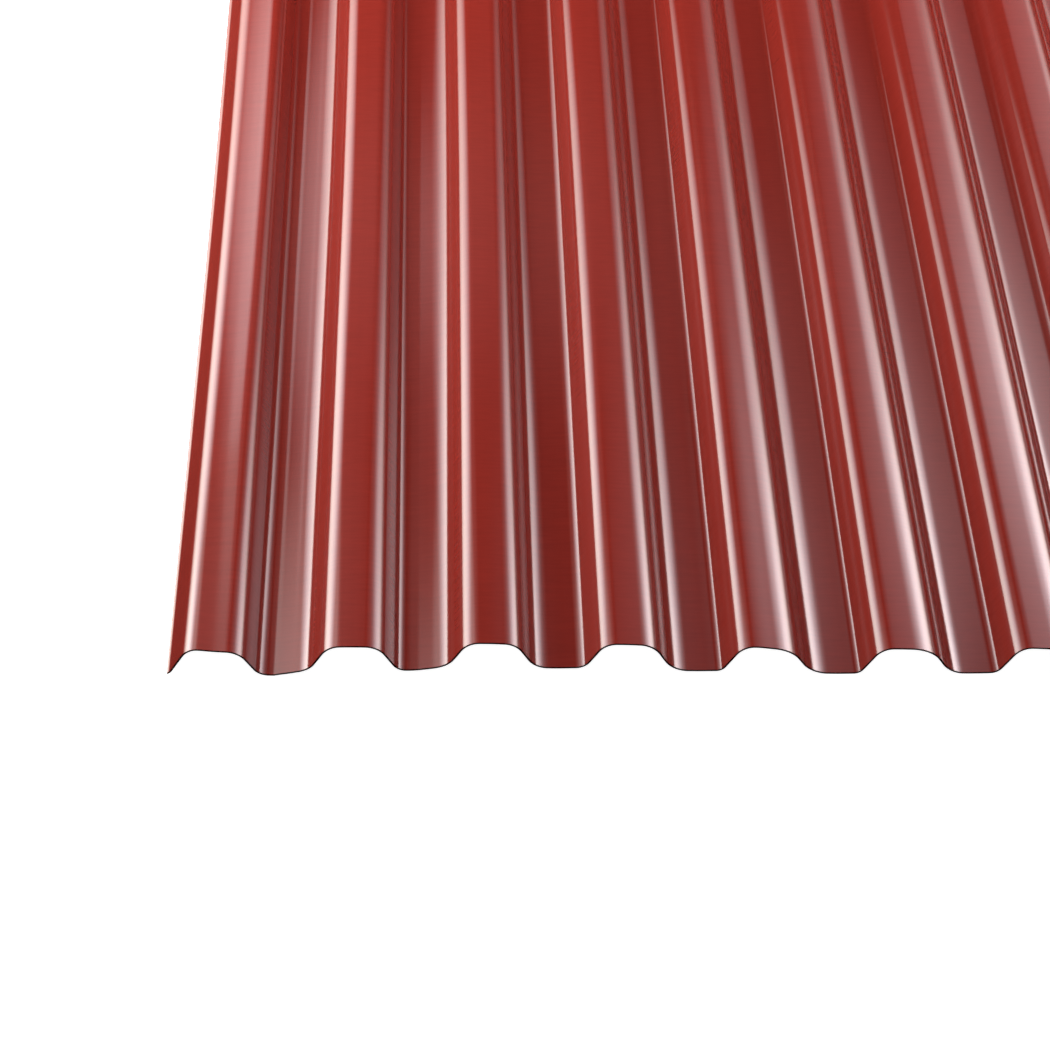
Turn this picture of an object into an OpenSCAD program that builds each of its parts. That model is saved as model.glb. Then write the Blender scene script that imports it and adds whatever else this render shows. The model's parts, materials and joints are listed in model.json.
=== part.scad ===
// Trapezoidal PVC roofing sheet.
// One extruded sheet of even thickness. Its section is a wave of flat crests and flat valleys,
// joined by slanting flanks, with a wide bend where each flat meets a flank.
// X runs across the corrugations and Y along them. The valleys rest on Z = 0,
// and the origin is at the middle of the underside.

/* [Sheet] */
// Length of the sheet, along the corrugations
sheet_length = 2000; // [500:100:6000]
// Number of crests across the sheet
crest_count = 16; // [2:1:20]
// Width past the whole waves, which laps the outer crest over the next sheet
side_lap = 45; // [42:1:58]
// Thickness of the sheet
thickness = 1; // [0.8:0.1:3]

/* [Profile] */
// Distance from one crest to the next
pitch = 70; // [62:1:90]
// Overall height, from the valley's underside to the top of the crest
profile_height = 18; // [12:0.5:28]
// Width of the flat on top of a crest
crest_flat = 13; // [6:0.5:18]
// Width of the flat at the bottom of a valley
valley_flat = 11.5; // [6:0.5:18]
// Radius of every bend, at the middle of the thickness
bend_radius = 11; // [4:0.5:11.5]

/* [Hidden] */

// Steps around one bend
bend_steps = 6;

sheet_width = (crest_count - 1) * pitch + side_lap;

// A flank falls by rise while it crosses run, with a bend at its top and its foot.
rise = profile_height - thickness;
run = (pitch - crest_flat - valley_flat) / 2;

// Two bends that meet with no straight between them are the widest that a flank can take.
// At least a short straight always stays.
widest_bend = (rise * rise + run * run) / (4 * rise);
bend = min(bend_radius, 0.97 * widest_bend);

// The straight of a flank is the inner tangent of the circles of its two bends.
flank_angle = atan2(rise - 2 * bend, run) + asin(2 * bend / norm([run, rise - 2 * bend]));

function reversed(points) = [for (i = [len(points) - 1 : -1 : 0]) points[i]];

// An arc about a centre, from one angle to another, both measured from straight up
function arc(centre, radius, from, to) = [
    for (i = [0 : bend_steps])
        let (angle = from + (to - from) * i / bend_steps)
            centre + radius * [sin(angle), cos(angle)]
];

// One side of a wave, from the crest's flat down to the middle of the valley.
// Lift is how far it lies above the middle of the thickness: up for the top face, down for
// the underside. It widens the crest's bend and tightens the valley's by the same amount.
function half_wave(lift) = let (
    crest_bend = bend + lift,
    valley_bend = bend - lift,
    crest_z = profile_height - thickness / 2 + lift,
    valley_z = thickness / 2 + lift
) concat(
    arc([crest_flat / 2, crest_z - crest_bend], crest_bend, 0, flank_angle),
    arc([(pitch - valley_flat) / 2, valley_z + valley_bend], valley_bend, flank_angle - 180, -180),
    [[pitch / 2, valley_z]]
);

// One face of the sheet, from its left valley to its right valley
function face_line(lift) = [
    for (crest = [0 : crest_count - 1])
        let (
            middle = (crest - (crest_count - 1) / 2) * pitch,
            side = half_wave(lift),
            left = [for (p = reversed(side)) [middle - p.x, p.y]],
            right = [for (p = side) [middle + p.x, p.y]]
        )
        each concat(left, right)
];

// The outer waves end where the sheet is trimmed, in the foot bend of their flanks.
module section() {
    intersection() {
        polygon(concat(face_line(thickness / 2), reversed(face_line(-thickness / 2))));
        translate([-sheet_width / 2, -profile_height])
            square([sheet_width, 3 * profile_height]);
    }
}

module sheet() {
    color([0.55, 0.2, 0.17])
        rotate([90, 0, 0]) linear_extrude(sheet_length, center = true) section();
}

sheet();
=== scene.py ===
"""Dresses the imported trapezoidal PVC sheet: its formed surface, finish, cut edges, light and floor."""

import json
import math

import bpy
from mathutils import Matrix, Vector


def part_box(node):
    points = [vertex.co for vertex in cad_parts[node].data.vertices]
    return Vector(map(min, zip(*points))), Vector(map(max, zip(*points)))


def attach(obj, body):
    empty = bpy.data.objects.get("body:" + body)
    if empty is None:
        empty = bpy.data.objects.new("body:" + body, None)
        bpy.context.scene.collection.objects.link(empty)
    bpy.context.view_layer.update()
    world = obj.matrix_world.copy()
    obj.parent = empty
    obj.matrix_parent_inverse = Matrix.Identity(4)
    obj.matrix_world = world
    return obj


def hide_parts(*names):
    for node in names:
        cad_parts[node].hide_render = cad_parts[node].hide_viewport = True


bl_info = {
    "name": "Trapezoidal PVC sheet",
    "version": (1, 0, 0),
    "blender": (4, 5, 0),
    "location": "View3D > Sidebar > Sheet",
    "description": "Models a trapezoidal PVC roofing sheet and lights it for a studio view",
    "category": "Object",
}

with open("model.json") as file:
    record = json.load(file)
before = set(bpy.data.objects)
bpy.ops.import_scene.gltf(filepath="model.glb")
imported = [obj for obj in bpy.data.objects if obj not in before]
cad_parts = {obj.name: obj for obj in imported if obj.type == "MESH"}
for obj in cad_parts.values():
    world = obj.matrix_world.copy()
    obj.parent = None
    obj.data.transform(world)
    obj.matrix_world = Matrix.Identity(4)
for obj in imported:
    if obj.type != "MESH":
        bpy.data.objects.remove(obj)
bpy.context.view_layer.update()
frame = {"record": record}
LOW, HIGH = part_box("sheet")
MOUNTS = {mount["name"]: mount for mount in frame["record"]["mounts"]}

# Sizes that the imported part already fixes, in metres
LENGTH = HIGH.y - LOW.y
HEIGHT = HIGH.z - LOW.z
PITCH = 2 * MOUNTS["crest_top"]["pos_m"][0]
THICKNESS = MOUNTS["lap_crest_top"]["pos_m"][2] - MOUNTS["lap_crest_underside"]["pos_m"][2]
RISE = HEIGHT - THICKNESS
OUTER_CREST = MOUNTS["lap_crest_top"]["pos_m"][0]
CRESTS = round(2 * OUTER_CREST / PITCH) + 1

MM = 0.001
LIP = 1.2 * MM  # how much further the left edge reaches than its nominal place

# Steps across half a flat, round a bend and down the straight part of a side
FLAT_STEPS, BEND_STEPS, STRAIGHT_STEPS = 8, 12, 2
ROWS = 24  # rows of faces along the sheet
MERGE_DISTANCE = 0.01 * MM  # points of neighbouring waves that are this close become one
SMOOTH_ANGLE = math.radians(35)  # an edge that turns by more than this stays a hard one


class SheetSettings(bpy.types.PropertyGroup):
    """Sizes and colours of the sheet."""

    crest_corner: bpy.props.FloatProperty(
        name="Crest corner", description="From the middle of a crest to its corner, if it were sharp",
        default=12.9 * MM, min=0.0, unit="LENGTH")
    valley_corner: bpy.props.FloatProperty(
        name="Valley corner", description="From the middle of a valley to its corner, if it were sharp",
        default=12.15 * MM, min=0.0, unit="LENGTH")
    shoulder_radius: bpy.props.FloatProperty(
        name="Shoulder radius", description="Radius of the bends beside a crest",
        default=11 * MM, min=0.0, unit="LENGTH")
    left_foot_radius: bpy.props.FloatProperty(
        name="Left foot radius", description="Radius of the bend where a side comes down to a valley",
        default=10.5 * MM, min=0.0, unit="LENGTH")
    right_foot_radius: bpy.props.FloatProperty(
        name="Right foot radius", description="Radius of the bend where a side goes up from a valley",
        default=8.5 * MM, min=0.0, unit="LENGTH")
    flat_crown: bpy.props.FloatProperty(
        name="Crown", description="How much the edges of the crest flats turn down",
        default=math.radians(2), subtype="ANGLE")
    valley_sag: bpy.props.FloatProperty(
        name="Sag", description="How much the edges of the valley flats turn up",
        default=math.radians(2), subtype="ANGLE")
    bow_height: bpy.props.FloatProperty(
        name="Bow", description="How far the near end stands off the floor where it bows up",
        default=4.7 * MM, min=0.0, unit="LENGTH")
    bow_place: bpy.props.FloatProperty(
        name="Bow place", description="Where across the sheet it bows up the most",
        default=-0.372, unit="LENGTH")
    bow_reach: bpy.props.FloatProperty(
        name="Bow reach", description="How far the bow reaches to either side",
        default=0.18, min=0.01, unit="LENGTH")
    skin_colour: bpy.props.FloatVectorProperty(
        name="Skin", description="Colour of the red-brown PVC",
        default=(0.174, 0.015, 0.01), size=3, subtype="COLOR", min=0.0, max=1.0)
    # the cut edges' near-black colour is painted shade, for cut faces that stand in shade from the lights
    edge_painted_shade: bpy.props.FloatVectorProperty(
        name="Cut edge", description="Colour of the sawn edges",
        default=(0.005, 0.003, 0.003), size=3, subtype="COLOR", min=0.0, max=1.0)


# ---------------------------------------------------------------- shader helpers

# The sockets of a Mix node that mixes colours: its factor, its two colours and its result
MIX_FACTOR, MIX_FIRST, MIX_SECOND, MIX_RESULT = 0, 6, 7, 2


class Value:
    """A number socket that takes part in Python arithmetic by adding Math nodes."""

    def __init__(self, nodes, socket):
        self.nodes = nodes
        self.socket = socket

    def _math(self, operation, first, second):
        node = self.nodes.add("ShaderNodeMath", {"operation": operation}, {0: first, 1: second})
        return Value(self.nodes, node.outputs[0])

    def __add__(self, other):
        return self._math("ADD", self, other)

    def __radd__(self, other):
        return self._math("ADD", other, self)

    def __sub__(self, other):
        return self._math("SUBTRACT", self, other)

    def __rsub__(self, other):
        return self._math("SUBTRACT", other, self)

    def __mul__(self, other):
        return self._math("MULTIPLY", self, other)

    def __rmul__(self, other):
        return self._math("MULTIPLY", other, self)

    def __pow__(self, other):
        return self._math("POWER", self, other)

    def __abs__(self):
        return self._math("ABSOLUTE", self, 0.0)


class Nodes:
    """Fills the node tree of a material, light or world."""

    def __init__(self, tree):
        self.tree = tree
        self.tree.nodes.clear()

    def add(self, kind, settings=None, inputs=None):
        """A node of this kind. Its settings are set first, then its sockets are set or linked."""
        node = self.tree.nodes.new(kind)
        for key, value in (settings or {}).items():
            setattr(node, key, value)
        for key, value in (inputs or {}).items():
            self._feed(node.inputs[key], value)
        return node

    def _feed(self, socket, value):
        if isinstance(value, Value):
            value = value.socket
        if isinstance(value, bpy.types.NodeSocket):
            self.tree.links.new(value, socket)
        else:
            socket.default_value = value

    def value(self, kind, settings=None, inputs=None, output=0):
        """A node as add makes it, giving one of its outputs for arithmetic."""
        return Value(self, self.add(kind, settings, inputs).outputs[output])

    def noise(self, scale, per_metre, detail):
        """Noise from 0 to 1 on Object coordinates, with so many lumps a metre.

        The scale has a number for each axis, and one below 1 draws the lumps out along its axis.
        """
        where = self.add("ShaderNodeTexCoord").outputs["Object"]
        place = self.add("ShaderNodeMapping", None, {"Vector": where, "Scale": scale}).outputs[0]
        return self.value("ShaderNodeTexNoise", None, {
            "Vector": place, "Scale": per_metre, "Detail": detail})

    def blend(self, part, first, second):
        """The colour that lies a part of the way from one colour to another."""
        mix = self.add("ShaderNodeMix", {"data_type": "RGBA"}, {
            MIX_FACTOR: part, MIX_FIRST: first, MIX_SECOND: second})
        return mix.outputs[MIX_RESULT]

    def shades(self, part, colour, darkest, lightest):
        """A colour made darker or lighter, from its darkest shade at 0 to its lightest at 1."""
        dark, light = ([min(1, c * shade) for c in colour] + [1] for shade in (darkest, lightest))
        return self.blend(part, dark, light)

    def surface(self, inputs):
        """Finishes a material with a Principled surface."""
        shader = self.add("ShaderNodeBsdfPrincipled", None, inputs)
        self.add("ShaderNodeOutputMaterial", None, {"Surface": shader.outputs[0]})


def new_material(name):
    """A new material and its empty node tree."""
    material = bpy.data.materials.new(name)
    material.use_nodes = True
    return material, Nodes(material.node_tree)


MEAN = 0.5  # the middle value of a noise

# The skin's shade before its patterns, and how much its clouds, streaks and ripple each change it
SKIN_SHADE, CLOUD_SHARE, STREAK_SHARE, RIPPLE_SHARE = 0.2, 0.35, 0.25, 0.8
# The skin's roughness, and how much its streaks and its grain each change it
SKIN_ROUGHNESS, ROUGHNESS_SHARE = 0.14, 0.04
RELIEF_SHARE = 0.5  # how much its grain and its ripple each take part in its relief
# The roughness of a sawn edge, from its smoothest to its roughest
EDGE_SMOOTHEST, EDGE_ROUGHEST = 0.6, 0.8


def pvc_skin(colour):
    """Satin red-brown PVC, with the fine grain and faint streaks of extruded sheet."""
    material, nodes = new_material("pvc_skin")
    clouds = nodes.noise(scale=(1, 0.3, 1), per_metre=9, detail=3)
    streaks = nodes.noise(scale=(1, 0.004, 1), per_metre=260, detail=2)
    grain = nodes.noise(scale=(1, 1, 1), per_metre=1000, detail=1)
    ripple = nodes.noise(scale=(0.12, 1, 0.12), per_metre=700, detail=0)

    shade = SKIN_SHADE + clouds * CLOUD_SHARE + streaks * STREAK_SHARE + (ripple - MEAN) * RIPPLE_SHARE
    roughness = SKIN_ROUGHNESS + (streaks - MEAN) * ROUGHNESS_SHARE + (grain - MEAN) * ROUGHNESS_SHARE
    relief = grain * RELIEF_SHARE + ripple * RELIEF_SHARE
    bump = nodes.add("ShaderNodeBump", None, {
        "Strength": 0.15, "Distance": 0.1 * MM, "Height": relief}).outputs[0]
    nodes.surface({"Base Color": nodes.shades(shade, colour, darkest=0.86, lightest=1.12),
                   "Roughness": roughness, "Normal": bump, "IOR": 1.54})
    return material


def sawn_edge(colour):
    """The sawn edge of the sheet: dull and finely scored, and painted near-black as painted shade."""
    material, nodes = new_material("sawn_edge")
    scores = nodes.noise(scale=(1, 1, 0.2), per_metre=1500, detail=2)
    # the near-black base colour is painted shade, with a faint reflection so the edge stays dark
    nodes.surface({"Base Color": nodes.shades(scores, colour, darkest=0.6, lightest=1.5),
                   "Roughness": EDGE_SMOOTHEST + scores * (EDGE_ROUGHEST - EDGE_SMOOTHEST),
                   "Specular IOR Level": 0.1})
    return material


# ---------------------------------------------------------------- the sheet


def between(first, second, part):
    """The number that lies a part of the way from one number to another."""
    return first + (second - first) * part


def side_slope(settings):
    """The slope of the sides of a wave, from one sharp corner to the other."""
    return math.atan2(RISE, PITCH / 2 - settings.crest_corner - settings.valley_corner)


def side_steps(settings, foot_radius):
    """The steps down one side of a wave, from the middle of a crest to the middle of a valley.

    Each step is a move across and down. The flats turn a little towards their edges, and the
    bends take the rest of the turn to the slope of the side.
    """
    slope = side_slope(settings)
    shoulder = settings.shoulder_radius
    # how far from its sharp corner each bend starts and ends
    shoulder_reach, foot_reach = (radius * math.tan(slope / 2) for radius in (shoulder, foot_radius))
    parts = (
        # length, first turn, last turn, number of steps
        (settings.crest_corner - shoulder_reach, 0, settings.flat_crown, FLAT_STEPS),
        (shoulder * slope, settings.flat_crown, slope, BEND_STEPS),
        (RISE / math.sin(slope) - shoulder_reach - foot_reach, slope, slope, STRAIGHT_STEPS),
        (foot_radius * slope, slope, settings.valley_sag, BEND_STEPS),
        (settings.valley_corner - foot_reach, settings.valley_sag, 0, FLAT_STEPS),
    )
    steps = []
    for length, first, last, count in parts:
        for step in range(count):
            # each step goes the way that the side has in the step's middle
            turn = between(first, last, (step + 0.5) / count)
            steps.append((length / count * math.cos(turn), length / count * math.sin(turn)))
    # the crown and sag change how far the side reaches, so it is scaled back to its pitch and rise
    widen = PITCH / 2 / sum(across for across, down in steps)
    lower = RISE / sum(down for across, down in steps)
    return [(across * widen, down * lower) for across, down in steps]


def select_edges(piece, wanted):
    """In edit mode, selects only the edges whose two ends pass a test."""
    bpy.ops.mesh.select_all(action="DESELECT")
    bpy.ops.object.mode_set(mode="OBJECT")
    for edge in piece.data.edges:
        first, second = (piece.data.vertices[i].co for i in edge.vertices)
        edge.select = wanted(first, second)
    bpy.ops.object.mode_set(mode="EDIT")


def apply_modifier(piece, kind, **settings):
    """Adds a modifier and applies it."""
    modifier = piece.modifiers.new(kind.title(), kind)
    for key, value in settings.items():
        setattr(modifier, key, value)
    bpy.ops.object.modifier_apply(modifier=modifier.name)


def one_wave(settings):
    """The middle surface of a wave from crest to crest, extruded edge by edge from a strip.

    This first one ends on the outer crest, so most of it is trimmed off later.
    """
    falling = side_steps(settings, settings.left_foot_radius)
    rising = side_steps(settings, settings.right_foot_radius)
    steps = [(across, -down) for across, down in falling] + list(reversed(rising))
    crest = -OUTER_CREST - PITCH
    top = HIGH.z - THICKNESS / 2
    strip = steps[0][0]
    bpy.ops.object.select_all(action="DESELECT")
    bpy.ops.mesh.primitive_plane_add(size=1, location=(crest + strip / 2, LOW.y + LENGTH / 2, top))
    piece = bpy.context.object
    piece.name = piece.data.name = "formed_sheet"
    piece.scale = (strip, LENGTH, 1)
    bpy.ops.object.transform_apply(location=True, rotation=True, scale=True)
    bpy.ops.object.mode_set(mode="EDIT")
    bpy.ops.mesh.select_mode(type="EDGE")
    select_edges(piece, lambda a, b: min(a.x, b.x) > crest + strip / 2)
    for across, up in steps[1:]:
        bpy.ops.mesh.extrude_region_move(TRANSFORM_OT_translate={"value": (across, 0, up)})
    bpy.ops.object.mode_set(mode="OBJECT")
    return piece


# How this one sheet differs from its true section. Places across are measured in millimetres from
# the middle of the first crest. Where two numbers are given for the same thing, the first holds at
# the near end, and the second from a fifth of the way along. Leans are in degrees, and are positive
# where a flat rises to the right.
SECOND_PLACE = LENGTH / 5
# Leans and shifts fade out between these distances along the sheet
FADE_START, FADE_END = LENGTH / 4, LENGTH * 3 / 4
# In millimetres, half the width of a leaning flat, and how far from its middle it lifts the sheet
LEAN_HALF, LEAN_REACH = 6, 29
# The two leans of each flat: crest, valley, crest and so on
FLAT_LEANS = ((0, 0), (0, 0), (-2.5, -1.5), (3.5, 4.5), (-2.5, -2.5), (1, 1), (-0.5, -0.5),
              (2, 2), (-1.5, -1.5), (0, 0), (-2, -2), (0, 0), (-3.5, -3))
# Parts of flats with a crease at their edges: the place, half the width and the two leans
CREASES = ((36, 5.5, 8, 5.5), (31.5, 1.2, 4, 4), (108, 4.5, 3, 3))
# Soft swells in the flats: the place, half the width and the two leans
SWELLS = ((0, 12, 6, 6), (4.5, 7.5, 7.5, 5), (8.5, 6, 0, 9), (43, 5, 5, 4), (280, 9, -5, -4))
# Soft twists of the near end: the place, half the width and the lean. They die out over a length,
# in metres.
END_TWISTS = ((-2, 14, -14), (5, 8, -8))
TWIST_LENGTH = 0.12
# The two shifts of each side of a wave, in millimetres to the right, starting at the left side of
# the first crest
SIDE_SHIFTS = ((0.3, 2.3), (0.2, 0.4), (0.7, 2.1), (0.3, 0.3), (0.8, 1.8), (-0.3, 0), (0.5, 0.9),
               (-0.6, -0.5), (0.3, 0.5), (-0.2, -0.8), (0.8, 1.1), (1, 0), (1.2, 1.5), (1.2, 1.9))
# Radius in millimetres of the bends at the left and right of each valley that aren't the common
# size, starting with the valley to the left of the first crest
FOOT_RADII = ((None, 5), (8.5, 9.5), (7.5, 12), (11, 8), (12.5, 5.5), (15, 5), (14, 6))
# The same for the left and right of each crest
SHOULDER_RADII = ((9.5, None), (None, 12), (None, None), (None, 12.5), (None, 16), (None, 16), (None, 15))


def hump(distance, reach):
    """A smooth hump that is 1 in its middle and falls to 0 at its reach."""
    return math.cos(math.pi * min(1, abs(distance) / reach) / 2) ** 2


def lean_lift(distance, half, soft):
    """How far a leaning flat lifts the sheet, at a distance from its middle, for a slope of one.

    It is straight across the flat, or fades out towards the flat's edges where it is soft, and is
    then eased back to nothing along the side.
    """
    reach = LEAN_REACH * MM
    away = min(abs(distance), reach)
    rise = min(away, half)
    if soft:
        rise = rise / 2 + half * math.sin(math.pi * rise / half) / (2 * math.pi)
    part = max(0, (away - half) / (reach - half))
    return math.copysign(rise * (2 * part**3 - 3 * part**2 + 1), distance)


def leans(along):
    """The leaning flats at a distance along the sheet: the place and half the width of each, its
    slope, and whether it is soft."""
    part = min(1, along / SECOND_PLACE)
    twist = max(0, 1 - along / TWIST_LENGTH)
    flats = [(index * PITCH / 2 / MM, LEAN_HALF, *lean, False) for index, lean in enumerate(FLAT_LEANS)]
    flats += [(*crease, False) for crease in CREASES]
    flats += [(*swell, True) for swell in SWELLS]
    flats += [(place, half, lean * twist, lean * twist, True) for place, half, lean in END_TWISTS]
    return [(place * MM, half * MM, math.tan(math.radians(between(first, second, part))), soft)
            for place, half, first, second, soft in flats]


def bend_lift(away, radius, slope):
    """How far a bend rises over its flat, at a distance past the corner that it rounds off."""
    reach = radius * math.tan(slope / 2)
    if away <= -reach:
        return 0
    if away >= reach * math.cos(slope):
        return away * math.tan(slope)
    return radius - math.sqrt(radius**2 - (away + reach) ** 2)


def bend_changes(settings):
    """The bends that aren't the common size: the place of the corner, the way its side goes, whether
    it bends up or down, its own radius and the common one."""
    changes = []
    for index, (left, right) in enumerate(FOOT_RADII):
        middle = index * PITCH - PITCH / 2
        corner = settings.valley_corner
        changes.append((middle - corner, -1, 1, left, settings.left_foot_radius))
        changes.append((middle + corner, 1, 1, right, settings.right_foot_radius))
    for index, (left, right) in enumerate(SHOULDER_RADII):
        middle = index * PITCH
        corner = settings.crest_corner
        changes.append((middle - corner, -1, -1, left, settings.shoulder_radius))
        changes.append((middle + corner, 1, -1, right, settings.shoulder_radius))
    return [(corner, way, sign, radius * MM, common)
            for corner, way, sign, radius, common in changes if radius]


def deform(x, y, settings):
    """How far across and up the formed sheet stands off its true section, at a place on it."""
    place = x + OUTER_CREST
    along = y - LOW.y
    fade = max(0, min(1, (FADE_END - along) / (FADE_END - FADE_START)))

    bow = settings.bow_height * hump(x - settings.bow_place, settings.bow_reach)
    up = bow * (1 - along / LENGTH)
    for middle, half, slope, soft in leans(along):
        up += slope * fade * lean_lift(place - middle, half, soft)
    side = side_slope(settings)
    for corner, way, sign, radius, common in bend_changes(settings):
        away = (place - corner) * way
        up += sign * (bend_lift(away, radius, side) - bend_lift(away, common, side))

    across = 0
    for index, shifts in enumerate(SIDE_SHIFTS):
        middle = index * PITCH / 2 - PITCH / 4
        shift = between(*shifts, min(1, along / SECOND_PLACE)) * MM
        across += shift * fade * hump(place - middle, PITCH / 4)
    return across, up


class SHEET_OT_make_sheet(bpy.types.Operator):
    """Model the sheet: one wave, repeated, trimmed, bowed and given its thickness"""

    bl_idname = "sheet.make_sheet"
    bl_label = "Make the sheet"

    def execute(self, context):
        settings = context.scene.sheet_settings
        piece = one_wave(settings)
        apply_modifier(piece, "ARRAY", count=CRESTS + 1, use_relative_offset=False,
                       use_constant_offset=True, constant_offset_displace=(PITCH, 0, 0),
                       use_merge_vertices=True, merge_threshold=MERGE_DISTANCE)
        # the side edges, trimmed in the foot bends of the outer waves
        bpy.ops.object.mode_set(mode="EDIT")
        for side, side_x in ((-1, LOW.x - LIP), (1, HIGH.x)):
            bpy.ops.mesh.select_all(action="SELECT")
            bpy.ops.mesh.bisect(plane_co=(side_x, 0, 0), plane_no=(side, 0, 0), clear_outer=True)
        # the edges that run along the sheet, cut into rows
        select_edges(piece, lambda a, b: abs(a.y - b.y) > LENGTH / 2)
        bpy.ops.mesh.subdivide(number_cuts=ROWS - 1)
        bpy.ops.mesh.select_all(action="SELECT")
        bpy.ops.mesh.normals_make_consistent(inside=False)
        bpy.ops.object.mode_set(mode="OBJECT")
        if piece.data.polygons[0].normal.z < 0:
            piece.data.flip_normals()
        for vertex in piece.data.vertices:
            across, up = deform(vertex.co.x, vertex.co.y, settings)
            vertex.co.x += across
            vertex.co.z += up
        piece.data.materials.append(pvc_skin(settings.skin_colour))
        # the second material, painted near-black as painted shade, goes on the cut edges that the
        # solidify adds
        piece.data.materials.append(sawn_edge(settings.edge_painted_shade))
        apply_modifier(piece, "SOLIDIFY", thickness=THICKNESS, offset=0, use_even_offset=True,
                       material_offset_rim=1)
        bpy.ops.object.shade_smooth_by_angle(angle=SMOOTH_ANGLE)
        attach(piece, "root")
        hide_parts("sheet")
        return {"FINISHED"}


# ---------------------------------------------------------------- the stage

FLOOR_SIZE = 60
WORLD_GLOW = 0.02  # the light that the world gives, where 1 is white

SOFTBOX_EDGE = 2  # the higher this is, the harder the edges of a softbox's face are
# The colours of a softbox's face at its foot and at its top, and then those of the lights
CREAM, LAVENDER = (1, 0.97, 0.86, 1), (0.95, 0.94, 1, 1)
WHITE, ROSE = (1, 1, 1), (0.95, 0.86, 0.9)

# Where the lights point, across and along from the sheet's near left corner
LIT_PLACE = Vector((0.25, 0.2, 0))
# Each light's azimuth and elevation in degrees, its distance, width and height in metres, its
# power in watts and its colour. The left and right softboxes are each built up from panels.
LIGHTS = {
    "left_wide_panel": (-47, 16, 1.1, 1.3, 0.85, 22, WHITE),
    "left_front_panel": (-55, 18, 1.0, 0.8, 0.68, 4, WHITE),
    "left_glow": (-10, 33, 1.5, 1.0, 0.35, 0.3, WHITE),
    "left_middle_glow": (-20, 47, 1.11, 0.32, 0.4, 0.12, WHITE),
    "left_high_glow": (-44, 41, 1.1, 0.5, 0.4, 1.4, WHITE),
    "right_wide_panel": (50, 24, 1.4, 1.9, 1.0, 14, ROSE),
    "right_middle_panel": (50, 25, 1.37, 1.2, 0.75, 13, ROSE),
    "right_front_panel": (60, 22, 1.3, 1.0, 0.6, 13, ROSE),
    "right_high_panel": (45, 37, 1.2, 1.0, 0.6, 3.7, ROSE),
    "right_glow": (22, 45, 1.35, 0.7, 0.7, 0.9, ROSE),
    "left_fill": (-72, 25, 1.0, 0.7, 0.7, 12.5, WHITE),
    "left_top_fill": (-75, 55, 1.2, 0.8, 0.8, 21, WHITE),
    "top_fill": (-50, 60, 1.3, 1.0, 1.0, 8, WHITE),
}
# Lamps straight above the far half, and the place below the middle of each, in metres. Both have
# one set of such numbers, and a narrow spread, so that they don't light the near end.
FAR_LAMPS = {"far_left_lamp": (-0.3, 0.6, 0), "far_right_lamp": (0.3, 0.6, 0)}
FAR_LAMP = (0, 90, 1.3, 1.0, 1.0, 16, WHITE)
FAR_LAMP_SPREAD = math.radians(80)

# Where the camera looks, across and along from the sheet's near left corner
SEEN_PLACE = Vector((0.1827, 0.1152, 0))
CAMERA_AZIMUTH, CAMERA_ELEVATION, CAMERA_ROLL = 182.204, 41.344, 1.349  # degrees
CAMERA_DISTANCE = 1.6773
LENS, SENSOR_WIDTH = 107.5, 36  # millimetres


def direction(azimuth, elevation):
    """The direction of an azimuth, from +Y towards +X, and an elevation, both in degrees."""
    turn, tilt = math.radians(azimuth), math.radians(elevation)
    return Vector((math.sin(turn) * math.cos(tilt), math.cos(turn) * math.cos(tilt), math.sin(tilt)))


def aim(thing, target, roll=0.0):
    """Points an object's -Z at a target, with its +Y up."""
    turn = (target - thing.location).to_track_quat("-Z", "Y").to_matrix().to_4x4()
    thing.matrix_world = Matrix.Translation(thing.location) @ turn @ Matrix.Rotation(roll, 4, "Z")


def softbox(name, target, azimuth, elevation, distance, width, height, power, colour):
    """A rectangular light that faces a target from an azimuth and an elevation.

    Its face is brightest in the middle, and turns from cream at its foot to lavender at its top.
    """
    lamp = bpy.data.lights.new(name, "AREA")
    lamp.shape = "RECTANGLE"
    lamp.size, lamp.size_y = width, height
    lamp.energy = power
    lamp.color = colour
    lamp.use_nodes = True
    nodes = Nodes(lamp.node_tree)
    face = nodes.add("ShaderNodeNewGeometry").outputs["Parametric"]
    parts = nodes.add("ShaderNodeSeparateXYZ", None, {"Vector": face}).outputs
    fall = 1.0
    for part in (parts["X"], parts["Y"]):
        # from 0 in the middle of the face to 1 at its edges
        off_middle = abs(Value(nodes, part) * 2 - 1)
        fall = fall * (1 - off_middle**SOFTBOX_EDGE)
    glow = nodes.add("ShaderNodeEmission", None, {
        "Color": nodes.blend(parts["Y"], CREAM, LAVENDER), "Strength": fall}).outputs[0]
    nodes.add("ShaderNodeOutputLight", None, {"Surface": glow})
    light = bpy.data.objects.new(name, lamp)
    bpy.context.scene.collection.objects.link(light)
    light.location = target + direction(azimuth, elevation) * distance
    aim(light, target)
    light.visible_camera = False
    return light


def white_floor():
    """A floor that is pure white, isn't mirrored in the sheet and casts no light on it."""
    bpy.ops.object.select_all(action="DESELECT")
    bpy.ops.mesh.primitive_plane_add(size=FLOOR_SIZE, location=(0, 0, LOW.z))
    floor = bpy.context.object
    floor.name = "floor"
    material, nodes = new_material("floor")
    nodes.surface({"Base Color": (0.8, 0.8, 0.8, 1), "Roughness": 0.9,
                   "Emission Color": (1, 1, 1, 1), "Emission Strength": 1.0})
    floor.data.materials.append(material)
    floor.visible_glossy = False
    floor.visible_diffuse = False


def studio_world():
    """A world that is white where the camera sees it, and gives only a little light."""
    world = bpy.data.worlds.new("studio")
    world.use_nodes = True
    nodes = Nodes(world.node_tree)
    seen = nodes.value("ShaderNodeLightPath", output="Is Camera Ray")
    glow = nodes.add("ShaderNodeBackground", None, {
        "Color": (1, 1, 1, 1), "Strength": WORLD_GLOW + seen * (1 - WORLD_GLOW)}).outputs[0]
    nodes.add("ShaderNodeOutputWorld", None, {"Surface": glow})
    return world


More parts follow.
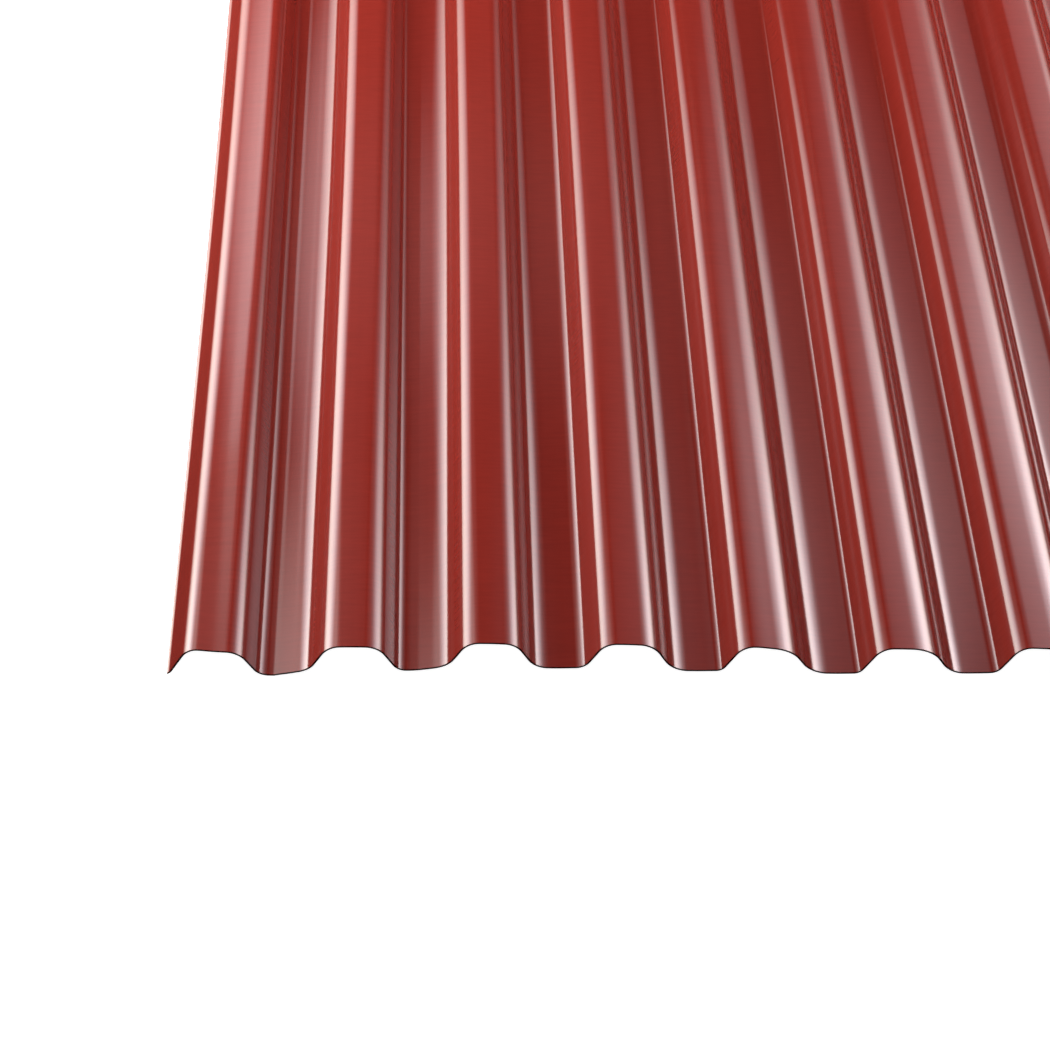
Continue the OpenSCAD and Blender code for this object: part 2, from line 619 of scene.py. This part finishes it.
def studio_camera():
    """A camera that looks down on the sheet's near left corner."""
    camera = bpy.data.objects.new("camera", bpy.data.cameras.new("camera"))
    bpy.context.scene.collection.objects.link(camera)
    camera.data.lens = LENS
    camera.data.sensor_width = SENSOR_WIDTH
    target = LOW + SEEN_PLACE
    camera.location = target + direction(CAMERA_AZIMUTH, CAMERA_ELEVATION) * CAMERA_DISTANCE
    aim(camera, target, roll=math.radians(CAMERA_ROLL))
    return camera


class SHEET_OT_make_stage(bpy.types.Operator):
    """Add the floor, the lights and the camera"""

    bl_idname = "sheet.make_stage"
    bl_label = "Make the stage"

    def execute(self, context):
        scene = context.scene
        white_floor()
        scene.world = studio_world()
        for name, light in LIGHTS.items():
            softbox(name, LOW + LIT_PLACE, *light)
        for name, place in FAR_LAMPS.items():
            lamp = softbox(name, Vector(place), *FAR_LAMP)
            lamp.data.spread = FAR_LAMP_SPREAD
        scene.camera = studio_camera()
        scene.view_settings.view_transform = "Standard"
        return {"FINISHED"}


class SHEET_PT_panel(bpy.types.Panel):
    """Lists the sheet's settings and steps."""

    bl_idname = "SHEET_PT_panel"
    bl_label = "Trapezoidal sheet"
    bl_space_type = "VIEW_3D"
    bl_region_type = "UI"
    bl_category = "Sheet"

    def draw(self, context):
        settings = context.scene.sheet_settings
        for name in SheetSettings.__annotations__:
            self.layout.prop(settings, name)
        for operator in (SHEET_OT_make_sheet, SHEET_OT_make_stage):
            self.layout.operator(operator.bl_idname)


CLASSES = (SheetSettings, SHEET_OT_make_sheet, SHEET_OT_make_stage, SHEET_PT_panel)


def register():
    """Makes the classes and the sheet's settings known to Blender."""
    for cls in CLASSES:
        bpy.utils.register_class(cls)
    bpy.types.Scene.sheet_settings = bpy.props.PointerProperty(type=SheetSettings)


def unregister():
    """Takes them away again."""
    del bpy.types.Scene.sheet_settings
    for cls in reversed(CLASSES):
        bpy.utils.unregister_class(cls)


def main():
    """Makes the sheet and the stage."""
    register()
    bpy.ops.sheet.make_sheet()
    bpy.ops.sheet.make_stage()


if __name__ == "__main__":
    main()
